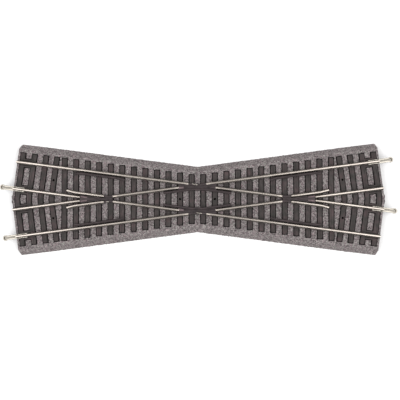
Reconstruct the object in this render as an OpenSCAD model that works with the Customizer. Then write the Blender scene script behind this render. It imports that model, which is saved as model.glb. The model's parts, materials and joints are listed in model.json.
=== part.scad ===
// Diamond crossing: two straight model railway tracks cross on one moulded ballast bed.
//
// The origin is on the table, below the middle of the crossing. +X (east) runs along its long
// axis, +Y (north) across it, and +Z up. Track A runs from north-west to south-east, track B
// from south-west to north-east. Each track has a north rail and a south rail.
// The rails, frogs and sleepers are the same in all four quarters, so each shape is drawn once,
// in the north-east quarter, and mirrored. Only the four rail joiners break that rule: one sits
// on the left-hand rail at each track end, looking outwards.

/* [Track] */
// Distance between the inner faces of a track's two rails
gauge = 16.5; // [16.4:0.05:16.6]
// Angle between the two tracks, in degrees
crossing_angle = 15; // [14.8:0.1:15.2]
// Length of each straight track
track_length = 239; // [238:0.5:240]

/* [Rail section] */
// Height of the rail
rail_height = 2.5; // [2.4:0.05:2.6]
// Width of the rail's head
head_width = 1.0; // [0.9:0.05:1.05]
// Height of the rail's head
head_height = 0.8; // [0.7:0.05:0.9]
// Thickness of the rail's web
web_width = 0.6; // [0.5:0.05:0.7]
// Width of the rail's foot
foot_width = 2.2; // [2.1:0.05:2.2]
// Thickness of the rail's foot
foot_height = 0.45; // [0.4:0.05:0.5]

/* [Sleepers] */
// Distance from one sleeper to the next
sleeper_pitch = 7.5; // [7.45:0.05:7.55]
// Width of a sleeper along the track
sleeper_width = 2.95; // [2.8:0.05:3.1]
// Height of a sleeper
sleeper_height = 2.0; // [1.8:0.1:2.2]
// Distance from a track's centre line to the ends of its sleepers
sleeper_reach = 15.05; // [14.8:0.05:15.2]
// Width of the strips that tie the sleepers together under the rails
tie_width = 1.8; // [1.6:0.1:2.0]

/* [Ballast bed] */
// Width of one track's bed on the table
bed_base_width = 42; // [41.6:0.1:42.4]
// Width of the flat top of one track's bed
bed_top_width = 35; // [34.6:0.1:35.4]
// Height of the ballast surface
ballast_height = 5.6; // [5.4:0.1:5.8]
// Height of the sleepers' top faces, which the rails stand on
seat_height = 6.6; // [6.5:0.1:6.8]
// Gap between a sleeper and the ballast beside it
sleeper_gap = 0.45; // [0.3:0.05:0.5]
// Thickness of the bed's outer walls
wall = 1.8; // [1.5:0.1:2.2]
// Thickness of the ribs below the deck
rib = 1.0; // [0.8:0.1:1.2]

/* [Crossing] */
// Clear width of the grooves for the wheel flanges
flangeway = 1.65; // [1.6:0.05:1.7]
// Depth of the grooves below the rail's top
flangeway_depth = 1.4; // [1.3:0.05:1.5]
// Width of a check rail's upright
check_width = 0.8; // [0.7:0.05:0.9]

/* [Fixing] */
// Radius of the holes for track pins
pin_hole_radius = 0.7; // [0.6:0.05:0.8]

/* [Joiners] */
// Length of joiner pushed on to the rail
joiner_grip = 7.5; // [7:0.1:7.6]
// Length of joiner that stands out for the next rail
joiner_reach = 8.7; // [8.4:0.1:9]
// Clearance between the joiner and the rail's foot, all round
joiner_clearance = 0.05; // [0.03:0.01:0.08]
// Thickness of the joiner's sheet metal
joiner_sheet = 0.3; // [0.25:0.05:0.3]

/* [Hidden] */
half_angle = crossing_angle / 2;
rise = tan(half_angle);
half_length = track_length / 2;
rail_offset = (gauge + head_width) / 2;     // a rail's centre line from its track's
knee_y = rail_offset / cos(half_angle);     // where a track A rail meets a track B rail, on Y
rail_top = seat_height + rail_height;
groove_floor = rail_top - flangeway_depth;
fit_gap = 0.05;                             // between a plastic insert and the rails in it
reach = 300;                                // longer than the whole part

// Ends of the metal rails, by distance from the middle along X
outer_start = 5.8;
closure_start = 11.7;
closure_end = 54.5;
wing_start = 60.4;
wing_bend = 79.0;
wing_flare = 5.6;                           // length of the wing rail's flared end
wing_flare_angle = 6.8;
end_rail_start = 75.9;
wing_offset = flangeway + head_width - rail_offset;
knuckle_x = (2 * rail_offset - flangeway - head_width) / (2 * sin(half_angle));

// Sleepers: straight ones across both tracks, then chevrons square to each track
straight_count = 12;                        // to each side of the middle
chevrons = [94.0, 101.1, 108.6, 116.1];     // distance along each track
plate_half = 2.7;                           // plates beside each rail, near the track ends
sleeper_floor = seat_height - sleeper_height;
tie_top = seat_height - 0.4;
joiner_pocket_floor = seat_height - 0.4;
joiner_pocket_half = 1.7;
joiner_pocket_start = 110.9;

// Bed
deck_bottom = 3.4;
end_chamfer = 0.8;
rib_pitch = 2 * sleeper_pitch;
rib_foot = 0.3;                             // the ribs stop short of the table
boss_radius = 2.2;
corner_holes = 94.2;                        // along each track
middle_holes = 1.5 * sleeper_pitch;         // along X
peg_radius = 1.0;
pegs = [3.5, 5.5, 9.5];                     // in sleeper pitches, along X

// Plastic check rails
check_start = 48.2;
check_end = 80.8;
check_flare = 3.5;
check_offset = rail_offset - head_width / 2 - 1.2 - check_width / 2;
knee_check = [[22, 3.75], [4, 6.2]];        // ends and bends of the obtuse crossings' check rails

// Contact strips below the deck
strip_width = 1.4;
strip_sheet = 0.25;
strip_drop = 0.5;                           // track B's strips pass this far below track A's
tab = [1.2, 0.4];
tab_places = [-1, 2, 7, 11];                // in sleeper pitches, along X

QUARTERS = ["ne", "nw", "se", "sw"];

$fn = 48;

// ---- Points and outlines -------------------------------------------------------------------

// A point of the north-east quarter, from its distance along track B and its offset from it
function on_b(along, offset) = [
    along * cos(half_angle) - offset * sin(half_angle),
    along * sin(half_angle) + offset * cos(half_angle)];

// The points at X = x on lines parallel to each track
function b_line(x, offset) = [x, x * rise + offset / cos(half_angle)];
function a_line(x, offset) = [x, -x * rise + offset / cos(half_angle)];

function flip_y(points) = [for (p = points) [p.x, -p.y]];
function flip_x(points) = [for (p = points) [-p.x, p.y]];
function reversed(points) = [for (i = [len(points) - 1:-1:0]) points[i]];

// A ribbon of constant width along a path, with mitred bends
function square_to(p, q) = let (d = (q - p) / norm(q - p)) [-d.y, d.x];
function mitre(a, b) = (a + b) / (1 + a * b);
function side_step(path, i) =
    i == 0 ? square_to(path[0], path[1])
    : i == len(path) - 1 ? square_to(path[i - 1], path[i])
    : mitre(square_to(path[i - 1], path[i]), square_to(path[i], path[i + 1]));
function side_line(path, distance) =
    [for (i = [0:len(path) - 1]) path[i] + distance * side_step(path, i)];
function ribbon(path, width) =
    concat(side_line(path, width / 2), reversed(side_line(path, -width / 2)));

// Centre lines of the pieces in the north-east quarter
OUTER_PATH = [b_line(outer_start, rail_offset), on_b(half_length, rail_offset)];
END_PATH = [b_line(end_rail_start, -rail_offset), on_b(half_length, -rail_offset)];
CLOSURE_PATH = [a_line(closure_start, rail_offset), a_line(closure_end, rail_offset)];
WING_BEND = b_line(wing_bend, wing_offset);
WING_ANGLE = half_angle + wing_flare_angle;
WING_PATH = [
    b_line(wing_start, wing_offset), WING_BEND,
    WING_BEND + wing_flare * [cos(WING_ANGLE), sin(WING_ANGLE)]];
CHECK_PATH = [
    on_b(check_start, check_offset - 0.8), on_b(check_start + check_flare, check_offset),
    on_b(check_end - check_flare, check_offset), on_b(check_end, check_offset - 0.8)];
KNEE_CHECK_PATH = concat(flip_x(knee_check), reversed(knee_check));

// Draws its children in one quarter: they are made for the north-east one
module in_quarter(quarter) {
    mirror([quarter[1] == "w" ? 1 : 0, 0, 0])
        mirror([0, quarter[0] == "s" ? 1 : 0, 0])
            children();
}

module in_all_quarters() {
    for (quarter = QUARTERS) in_quarter(quarter) children();
}

module slab(outline, bottom, top) {
    translate([0, 0, bottom]) linear_extrude(top - bottom) polygon(outline);
}

// ---- Rails ---------------------------------------------------------------------------------

// A straight rail is its section pushed along. A bent one is a foot, a web and a head.
module rail(path) {
    if (len(path) == 2) straight_rail(path);
    else bent_rail(path);
}

module straight_rail(path) {
    run = path[1] - path[0];
    foot = foot_width / 2;
    web = web_width / 2;
    head = head_width / 2;
    head_bottom = rail_height - head_height;
    half_section = [
        [foot, 0], [foot, foot_height], [web, foot_height],
        [web, head_bottom], [head, head_bottom], [head, rail_height]];
    translate([path[0].x, path[0].y, seat_height]) rotate([90, 0, 90 + atan2(run.y, run.x)])
        linear_extrude(norm(run)) polygon(concat(half_section, reversed(flip_x(half_section))));
}

module bent_rail(path) {
    web_bottom = seat_height + foot_height;
    head_bottom = rail_top - head_height;
    slab(ribbon(path, foot_width), seat_height, web_bottom);
    slab(ribbon(path, web_width), web_bottom, head_bottom);
    slab(ribbon(path, head_width), head_bottom, rail_top);
}

// The room that a rail needs in a plastic insert
module rail_room(path) {
    foot_top = seat_height + foot_height + fit_gap;
    slab(ribbon(path, foot_width + 2 * fit_gap), seat_height - 1, foot_top);
    slab(ribbon(path, head_width + 2 * fit_gap), foot_top - 0.01, rail_top + 1);
}

module metal(path) {
    color([0.78, 0.75, 0.70]) rail(path);
}

module outer_rail(quarter) { in_quarter(quarter) metal(OUTER_PATH); }
module end_rail(quarter) { in_quarter(quarter) metal(END_PATH); }
module closure_rail(quarter) { in_quarter(quarter) metal(CLOSURE_PATH); }
module wing_rail(quarter) { in_quarter(quarter) metal(WING_PATH); }

// ---- Plastic crossing parts ----------------------------------------------------------------

// The core of an acute frog: floor, point and the two knuckles. It fits between the rails.
module acute_frog() {
    floor_start = closure_end + 0.3;
    floor_end = end_rail_start - 0.3;
    knuckle_start = closure_end + 0.1;
    knuckle_end = wing_start - 0.3;
    knuckle_half = 2.3;
    point_start = 64.2;
    point_end = floor_end + 0.1;
    inner_wing = wing_offset - foot_width / 2 - fit_gap;
    upper_floor = [
        [floor_start, knuckle_half], [knuckle_end, knuckle_half],
        b_line(knuckle_end, inner_wing), b_line(floor_end, inner_wing)];
    upper_point = [
        b_line(point_start, head_width / 2 - rail_offset),
        b_line(point_end, head_width / 2 - rail_offset)];
    knuckle = [
        a_line(knuckle_start, rail_offset), b_line(knuckle_x, wing_offset),
        b_line(knuckle_end, wing_offset)];
    color([0.25, 0.22, 0.22]) {
        slab(concat(upper_floor, reversed(flip_y(upper_floor))), seat_height, groove_floor);
        slab(concat(upper_point, reversed(flip_y(upper_point))), seat_height, rail_top);
        slab(ribbon(knuckle, head_width), seat_height, rail_top);
        slab(ribbon(flip_y(knuckle), head_width), seat_height, rail_top);
    }
}

module acute_frog_at(end) {
    in_quarter(end == "east" ? "ne" : "nw") acute_frog();
}

// The insert of an obtuse crossing: floor, running knee, two points and the knee check rail
module obtuse_crossing() {
    floor_end = closure_start + 0.5;
    knee_end = outer_start - fit_gap;
    point_end = closure_start - fit_gap;
    edge = head_width / 2;
    groove_edge = rail_offset - edge - flangeway;      // the far side of the other track's groove
    point_tip = (rail_offset - edge - groove_edge) / (2 * sin(half_angle));
    point_full = (rail_offset + edge - groove_edge) / (2 * sin(half_angle));
    half_floor = [
        knee_check[1],
        [floor_end, lookup(floor_end, knee_check)],
        b_line(floor_end, rail_offset), b_line(knee_end, rail_offset + edge + 0.1)];
    point = [
        a_line(point_tip, rail_offset - edge), b_line(point_full, groove_edge),
        a_line(point_end, rail_offset + edge), a_line(point_end, rail_offset - edge)];
    knee = [
        a_line(-knee_end, rail_offset), [0, knee_y], b_line(knee_end, rail_offset)];
    color([0.27, 0.22, 0.22]) difference() {
        union() {
            slab(concat(half_floor, [[0, knee_y + edge + 0.1]], reversed(flip_x(half_floor))),
                 seat_height, groove_floor);
            slab(ribbon(knee, head_width), groove_floor, rail_top);
            slab(point, groove_floor, rail_top);
            slab(flip_x(point), groove_floor, rail_top);
            check_upright(KNEE_CHECK_PATH);
        }
        for (quarter = ["ne", "nw"]) in_quarter(quarter) {
            rail_room(OUTER_PATH);
            rail_room(CLOSURE_PATH);
        }
    }
}

module obtuse_crossing_at(side) {
    in_quarter(side == "north" ? "ne" : "se") obtuse_crossing();
}

// A plastic check rail's foot and upright
module check_upright(path) {
    slab(ribbon(path, 2 * check_width), seat_height, seat_height + 0.6);
    slab(ribbon(path, check_width), seat_height, rail_top);
}

module check_rail(quarter) {
    color([0.27, 0.23, 0.23]) in_quarter(quarter) check_upright(CHECK_PATH);
}

// ---- Sleepers ------------------------------------------------------------------------------

// The outline of a sleeper square to X, over both tracks
function straight_outline(x, grow) = let (
        half = sleeper_width / 2 + grow,
        end = b_line(x, sleeper_reach).y + grow)
    [[x - half, -end], [x + half, -end], [x + half, end], [x - half, end]];

// The outline of a chevron: square to track B in the north and to track A in the south
function chevron_outline(along, grow) = let (
        near = along - sleeper_width / 2 - grow,
        far = along + sleeper_width / 2 + grow,
        end = sleeper_reach + grow,
        north = [[near / cos(half_angle), 0], on_b(near, end), on_b(far, end),
                 [far / cos(half_angle), 0]])
    concat(north, flip_y([on_b(far, end), on_b(near, end)]));

// Everything that reaches up to the sleepers' top faces
module sleeper_plan(grow = 0) {
    for (turn = [0, 180]) rotate(turn) {
        for (k = [0:straight_count - 1])
            polygon(straight_outline((k + 0.5) * sleeper_pitch, grow));
        for (along = chevrons) polygon(chevron_outline(along, grow));
    }
    in_all_quarters() for (offset = [-rail_offset, rail_offset])
        polygon(ribbon([on_b(chevrons[2], offset), on_b(chevrons[3], offset)],
                       2 * (plate_half + grow)));
}

// The strips below the rails, from one end of the grid to the other
module tie_plan(width) {
    for (turn = [-half_angle, half_angle], offset = [-rail_offset, rail_offset])
        rotate(turn) translate([-chevrons[3], offset - width / 2])
            square([2 * chevrons[3], width]);
}

// The stretches of the sleepers' tops where rail chairs stand, beside the metal rails
module chair_plan(inner, outer) {
    middle = (inner + outer) / 2;
    width = outer - inner;
    along_outer = [b_line(outer_start + 1, rail_offset), on_b(joiner_pocket_start, rail_offset)];
    along_end = [b_line(end_rail_start + 1.6, -rail_offset),
                 on_b(joiner_pocket_start, -rail_offset)];
    along_closure = [a_line(closure_start + 1, rail_offset), a_line(closure_end - 1.6, rail_offset)];
    along_wing = [b_line(wing_start + 1, wing_offset), b_line(wing_bend - 1, wing_offset)];
    in_all_quarters() {
        polygon(ribbon(side_line(along_outer, middle), width));
        polygon(ribbon(side_line([on_b(14, rail_offset), on_b(check_start - 0.5, rail_offset)],
                                 -middle), width));
        polygon(ribbon(side_line([on_b(check_end + 0.5, rail_offset), along_outer[1]],
                                 -middle), width));
        polygon(ribbon(side_line(along_end, -middle), width));
        polygon(ribbon(side_line([on_b(wing_bend + wing_flare + 3, -rail_offset), along_end[1]],
                                 middle), width));
        polygon(ribbon(side_line(along_closure, middle), width));
        polygon(ribbon(side_line([a_line(knee_check[0].x + 1, rail_offset), along_closure[1]],
                                 -middle), width));
        polygon(ribbon(side_line(along_wing, middle), width));
    }
}

// Rail chairs: a block beside the foot, and a lip over it
module chairs() {
    foot_side = foot_width / 2 + fit_gap;
    lip_bottom = seat_height + foot_height + fit_gap;
    lip_top = lip_bottom + 0.35;
    translate([0, 0, seat_height]) linear_extrude(lip_top - seat_height) intersection() {
        chair_plan(foot_side, foot_side + 0.6);
        sleeper_plan(-0.5);
    }
    translate([0, 0, lip_bottom]) linear_extrude(lip_top - lip_bottom) intersection() {
        chair_plan(web_width / 2 + 0.4, foot_side + 0.3);
        sleeper_plan(-0.5);
    }
}

module pin_holes(radius) {
    in_all_quarters() translate(on_b(corner_holes, 0)) translate([0, 0, -1])
        cylinder(h = 2 * rail_top, r = radius);
    for (x = [-middle_holes, middle_holes]) translate([x, 0, -1])
        cylinder(h = 2 * rail_top, r = radius);
}

// Slots for the contact strips' tabs, up to the rails
module tab_holes() {
    for (line = ["a_north", "a_south", "b_north", "b_south"])
        tabs(line, tab[0] + 2 * fit_gap, tab[1] + 2 * fit_gap, 0);
}

module sleeper_grid() {
    color([0.30, 0.28, 0.28]) difference() {
        union() {
            translate([0, 0, sleeper_floor]) linear_extrude(sleeper_height) sleeper_plan();
            translate([0, 0, sleeper_floor]) linear_extrude(tie_top - sleeper_floor)
                tie_plan(tie_width);
            chairs();
            for (side = [-1, 1], place = pegs)
                translate([side * place * sleeper_pitch, 0, deck_bottom])
                    cylinder(h = sleeper_floor - deck_bottom + 0.5, r = peg_radius);
        }
        in_all_quarters() for (offset = [-rail_offset, rail_offset])
            slab(ribbon([on_b(joiner_pocket_start, offset), on_b(half_length + 1, offset)],
                        2 * joiner_pocket_half),
                 joiner_pocket_floor, rail_top);
        pin_holes(pin_hole_radius);
        tab_holes();
    }
}

// ---- Ballast bed ---------------------------------------------------------------------------

// A straight bed's body along X, with its end corners cut back at the foot of the slopes
module bed_body() {
    top = bed_top_width / 2;
    base = bed_base_width / 2;
    section = [[-base, 0], [base, 0], [top, ballast_height], [-top, ballast_height]];
    corner = [
        [half_length, top], [half_length - end_chamfer, base],
        [-half_length + end_chamfer, base], [-half_length, top]];
    intersection() {
        translate([-half_length, 0, 0]) rotate([90, 0, 90])
            linear_extrude(track_length) polygon(section);
        slab(concat(corner, reversed(flip_y(corner))), -1, ballast_height + 1);
    }
}

// The hollow below a straight bed's deck, with sloped sides
module bed_hollow() {
    slope = (bed_base_width - bed_top_width) / 2 / ballast_height;
    base = bed_base_width / 2 - wall;
    top = base - slope * deck_bottom;
    translate([wall - half_length, 0, 0]) rotate([90, 0, 90])
        linear_extrude(track_length - 2 * wall)
            polygon([[-base - slope, -1], [base + slope, -1], [top, deck_bottom],
                     [-top, deck_bottom]]);
}

module ribs() {
    height = deck_bottom + 1 - rib_foot;
    translate([-reach / 2, -rib / 2, rib_foot]) cube([reach, rib, height]);
    for (turn = [-half_angle, half_angle]) rotate(turn)
        translate([-reach / 2, -rib / 2, rib_foot]) cube([reach, rib, height]);
    for (k = [-7:7]) translate([k * rib_pitch - rib / 2, -reach / 2, rib_foot])
        cube([rib, reach, height]);
    in_all_quarters() translate(on_b(corner_holes, 0)) cylinder(h = ballast_height, r = boss_radius);
    for (x = [-middle_holes, middle_holes]) translate([x, 0, 0])
        cylinder(h = ballast_height, r = boss_radius);
}

module ballast_bed() {
    color([0.56, 0.53, 0.52]) difference() {
        union() for (turn = [-half_angle, half_angle]) rotate(turn) bed_body();
        difference() {
            union() for (turn = [-half_angle, half_angle]) rotate(turn) bed_hollow();
            ribs();
        }
        translate([0, 0, sleeper_floor]) linear_extrude(ballast_height) {
            sleeper_plan(sleeper_gap);
            tie_plan(tie_width + 0.2);
        }
        for (line = ["a_north", "a_south", "b_north", "b_south"])
            strip_bar(line, strip_width + 0.6, deck_bottom - strip_drop - 2 * strip_sheet,
                      deck_bottom, 1);
        for (side = [-1, 1], place = pegs)
            translate([side * place * sleeper_pitch, 0, deck_bottom - 1])
                cylinder(h = ballast_height, r = peg_radius + fit_gap);
        pin_holes(pin_hole_radius);
        tab_holes();
    }
}

// ---- Contact strips ------------------------------------------------------------------------

// Puts its children, made for track A's north rail, on another rail line
module on_line(line) {
    mirror([line[0] == "b" ? 1 : 0, 0, 0])
        rotate(line[2] == "s" ? 180 : 0)
            children();
}

module strip_bar(line, width, bottom, top, extra) {
    first = a_line(tab_places[0] * sleeper_pitch - 1 - extra, rail_offset);
    last = a_line(tab_places[3] * sleeper_pitch + 1 + extra, rail_offset);
    on_line(line) slab(ribbon([first, last], width), bottom, top);
}

module tabs(line, length, thickness, bottom) {
    on_line(line) for (place = tab_places)
        translate(a_line(place * sleeper_pitch, rail_offset)) rotate(-half_angle)
            translate([-length / 2, -thickness / 2, bottom])
                cube([length, thickness, seat_height - bottom]);
}

module contact_strip(line) {
    top = deck_bottom - (line[0] == "b" ? strip_drop : 0);
    color([0.80, 0.66, 0.42]) {
        strip_bar(line, strip_width, top - strip_sheet, top, 0);
        tabs(line, tab[0], tab[1], top - strip_sheet);
    }
}

// ---- Rail joiners --------------------------------------------------------------------------

// A sheet-metal channel round the rail's foot. The rail's end is at X = 0, its foot on Z = 0,
// and the joiner's free half stands out towards +X.
module joiner() {
    inner = foot_width / 2 + joiner_clearance;
    outer = inner + joiner_sheet;
    floor_top = -joiner_clearance;
    lip_bottom = foot_height + joiner_clearance;
    lip_top = lip_bottom + joiner_sheet;
    slot = web_width / 2 + 0.25;
    nose_radius = 1.85;
    nose_x = joiner_reach - nose_radius;
    color([0.72, 0.70, 0.66]) difference() {
        union() {
            translate([-joiner_grip, -outer, floor_top - joiner_sheet])
                cube([joiner_grip + nose_x, 2 * outer, lip_top - floor_top + joiner_sheet]);
            translate([nose_x, 0, floor_top - joiner_sheet])
                cylinder(h = lip_top - floor_top + joiner_sheet, r = nose_radius);
        }
        translate([-joiner_grip - 1, -inner, floor_top])
            cube([joiner_grip + nose_x + 1, 2 * inner, lip_bottom - floor_top]);
        translate([-joiner_grip - 1, -slot, floor_top])
            cube([joiner_grip + nose_x + 1, 2 * slot, 2 * lip_top]);
        translate([nose_x, 0, floor_top])
            cylinder(h = 2 * lip_top, r = nose_radius - joiner_sheet);
    }
}

// At the east end of track A (inner) or track B (outer), or the same at the west end
module rail_joiner(end, place) {
    track_turn = place == "inner" ? -half_angle : half_angle;
    end_turn = end == "east" ? 0 : 180;
    rotate(end_turn + track_turn) translate([half_length, rail_offset, seat_height]) joiner();
}

// ---- Nodes ---------------------------------------------------------------------------------

ballast_bed();
sleeper_grid();
for (quarter = QUARTERS) {
    outer_rail(quarter);
    end_rail(quarter);
    closure_rail(quarter);
    wing_rail(quarter);
    check_rail(quarter);
}
for (end = ["east", "west"]) {
    acute_frog_at(end);
    for (place = ["inner", "outer"])
        rail_joiner(end, place);
}
for (side = ["north", "south"])
    obtuse_crossing_at(side);
for (line = ["a_north", "a_south", "b_north", "b_south"])
    contact_strip(line);
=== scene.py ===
"""Looks for a 15 degree diamond crossing on a moulded ballast bed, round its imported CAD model.

Shapes are worked out in millimetres in the frame's own axes: X along the crossing, Y across it,
Z up. Most of them are made for the north-east quarter and mirrored into the other three, as in
the CAD. Offsets are distances from a track's centre line, positive to its left looking east.
"""

import json
import math

import bpy
import bmesh
import numpy as np
from mathutils import Matrix, Vector


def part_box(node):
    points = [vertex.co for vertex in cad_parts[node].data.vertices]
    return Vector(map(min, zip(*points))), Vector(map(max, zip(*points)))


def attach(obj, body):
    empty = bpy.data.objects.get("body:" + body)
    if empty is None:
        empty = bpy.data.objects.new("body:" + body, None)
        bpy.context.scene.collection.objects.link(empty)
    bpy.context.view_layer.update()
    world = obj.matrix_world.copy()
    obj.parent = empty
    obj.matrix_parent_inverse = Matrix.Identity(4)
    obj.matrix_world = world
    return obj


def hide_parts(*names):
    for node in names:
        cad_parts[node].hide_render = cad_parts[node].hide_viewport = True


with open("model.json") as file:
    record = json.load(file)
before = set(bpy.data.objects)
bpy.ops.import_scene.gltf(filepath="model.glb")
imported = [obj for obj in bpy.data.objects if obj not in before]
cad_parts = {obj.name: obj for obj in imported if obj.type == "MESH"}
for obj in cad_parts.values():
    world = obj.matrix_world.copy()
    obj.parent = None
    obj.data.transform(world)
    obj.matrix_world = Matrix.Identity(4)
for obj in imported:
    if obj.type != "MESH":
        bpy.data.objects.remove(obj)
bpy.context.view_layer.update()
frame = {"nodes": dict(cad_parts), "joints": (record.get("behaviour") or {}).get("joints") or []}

# ---- Driving dimensions, in millimetres ------------------------------------------------------

MM = 0.001
QUARTERS = {"ne": (1, 1), "nw": (-1, 1), "se": (1, -1), "sw": (-1, -1)}


def low_high(node):
    """A CAD node's lowest and highest corners, in millimetres."""
    low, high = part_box(node)
    return np.array(low) / MM, np.array(high) / MM


JOINTS = {joint["name"]: joint for joint in frame["joints"]}
EAST_B = JOINTS["joiner_slide_east_outer"]["axis"]
HALF_ANGLE = math.atan2(EAST_B[1], EAST_B[0])
COS, SIN, RISE = math.cos(HALF_ANGLE), math.sin(HALF_ANGLE), math.tan(HALF_ANGLE)
TO_B, TO_A = np.array([COS, SIN]), np.array([COS, -SIN])

SEAT = low_high("outer_rail_ne")[0][2]
RAIL_TOP = low_high("outer_rail_ne")[1][2]
BALLAST_TOP = low_high("ballast_bed")[1][2]
GAUGE = 16.5
FOOT_HALF = 1.1
HEAD_HALF = 0.5
RAIL_OFFSET = GAUGE / 2 + HEAD_HALF
FLANGEWAY = 1.65
HALF_LENGTH = (low_high("outer_rail_ne")[1][0] + (RAIL_OFFSET - FOOT_HALF) * SIN) / COS

PITCH = 7.5
STRAIGHT = [(k + 0.5) * PITCH for k in range(12)]
CHEVRONS = [94.0, 101.1, 108.6, 116.1]
PIN_SLEEPER = STRAIGHT[1]
PIN_ALONG = 94.2
SLEEPER_HALF = 1.475
SLEEPER_REACH = 15.05
SLEEPER_FLOOR = 4.6
TIE_TOP = SEAT - 0.4
PLATE_HALF = 2.7
GAP = 0.56  # between a sleeper or a plate and the stones
POCKET_START, POCKET_HALF = 110.9, 1.7

BED_TOP_HALF = 17.5
BED_BASE_HALF = 21.0

# Where the rails and plastic pieces of the north-east quarter start and end along X
OUTER_START = 5.8
CLOSURE = (11.7, 54.5)
WING_START, WING_BEND, WING_FLARE = 60.4, 79.0, 5.6
WING_FLARE_ANGLE = math.radians(6.8)
WING_OFFSET = -6.1
END_RAIL_START = 75.9
GROOVE_FLOOR = RAIL_TOP - 1.4
PLASTIC_TOP = RAIL_TOP - 0.08
CHECK_SPAN = (48.2, 80.8)
CHECK_OFFSET = 6.65
KNEE_CHECK = [(22, 3.75), (4, 6.2)]
KNUCKLE_X = (2 * RAIL_OFFSET - FLANGEWAY - 2 * HEAD_HALF) / (2 * SIN)


# ---- Points, paths and outlines --------------------------------------------------------------


def on_b(along, offset):
    """The point at a distance along track B and an offset from it."""
    return np.array([along * COS - offset * SIN, along * SIN + offset * COS])


def b_line(x, offset):
    return np.array([x, x * RISE + offset / COS])


def a_line(x, offset):
    return np.array([x, -x * RISE + offset / COS])


def side_steps(path):
    """Steps of one millimetre to the left of a path, mitred at its bends."""
    step = np.diff(path, axis=0)
    step /= np.linalg.norm(step, axis=1)[:, None]
    left = np.stack([-step[:, 1], step[:, 0]], 1)
    before, after = np.vstack([left[:1], left]), np.vstack([left, left[-1:]])
    return (before + after) / (1 + (before * after).sum(1))[:, None]


def distances(path):
    return np.concatenate([[0], np.cumsum(np.linalg.norm(np.diff(path, axis=0), axis=1))])


def ribbon(path, half):
    path = np.asarray(path, float)
    side = side_steps(path) * half
    return np.vstack([path + side, (path - side)[::-1]])


def rounded(path, radius=1.2, steps=4):
    """The path with its bends turned into short curves."""
    path = np.asarray(path, float)
    out = [path[0]]
    for before, bend, after in zip(path, path[1:], path[2:]):
        start = bend + (before - bend) / np.linalg.norm(before - bend) * radius
        end = bend + (after - bend) / np.linalg.norm(after - bend) * radius
        for t in np.linspace(0, 1, steps + 1):
            out.append((1 - t) ** 2 * start + 2 * t * (1 - t) * bend + t * t * end)
    return np.array(out + [path[-1]])


def inset(outline, distance):
    """A counter-clockwise outline moved inwards."""
    closed = np.vstack([outline[-1:], outline, outline[:1]])
    return outline + side_steps(closed)[1:-1] * distance


def flip_y(points):
    return np.asarray(points, float) * (1, -1)


def flip_x(points):
    return np.asarray(points, float) * (-1, 1)


def on_seat(half):
    """A section that stands on the sleepers, from its right half seen from the end."""
    return [(u, SEAT + z) for u, z in half] + [(-u, SEAT + z) for u, z in half[::-1]]


def turned(x, y, profile, sides):
    """Rings of a round solid on an upright axis. Its profile is (radius, height)."""
    angle = np.linspace(0, 2 * math.pi, sides + 1)[:-1]
    return [
        np.column_stack([x + r * np.cos(angle), y + r * np.sin(angle), np.full(sides, z)])
        for r, z in profile
    ]


OUTER_PATH = np.array([b_line(OUTER_START, RAIL_OFFSET), on_b(HALF_LENGTH, RAIL_OFFSET)])
END_PATH = np.array([b_line(END_RAIL_START, -RAIL_OFFSET), on_b(HALF_LENGTH, -RAIL_OFFSET)])
CLOSURE_PATH = np.array([a_line(x, RAIL_OFFSET) for x in CLOSURE])
FLARE_TURN = HALF_ANGLE + WING_FLARE_ANGLE
WING_BEND_AT = b_line(WING_BEND, WING_OFFSET)
WING_PATH = np.array([
    b_line(WING_START, WING_OFFSET),
    WING_BEND_AT,
    WING_BEND_AT + WING_FLARE * np.array([math.cos(FLARE_TURN), math.sin(FLARE_TURN)]),
])


# ---- Making meshes ---------------------------------------------------------------------------


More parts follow.
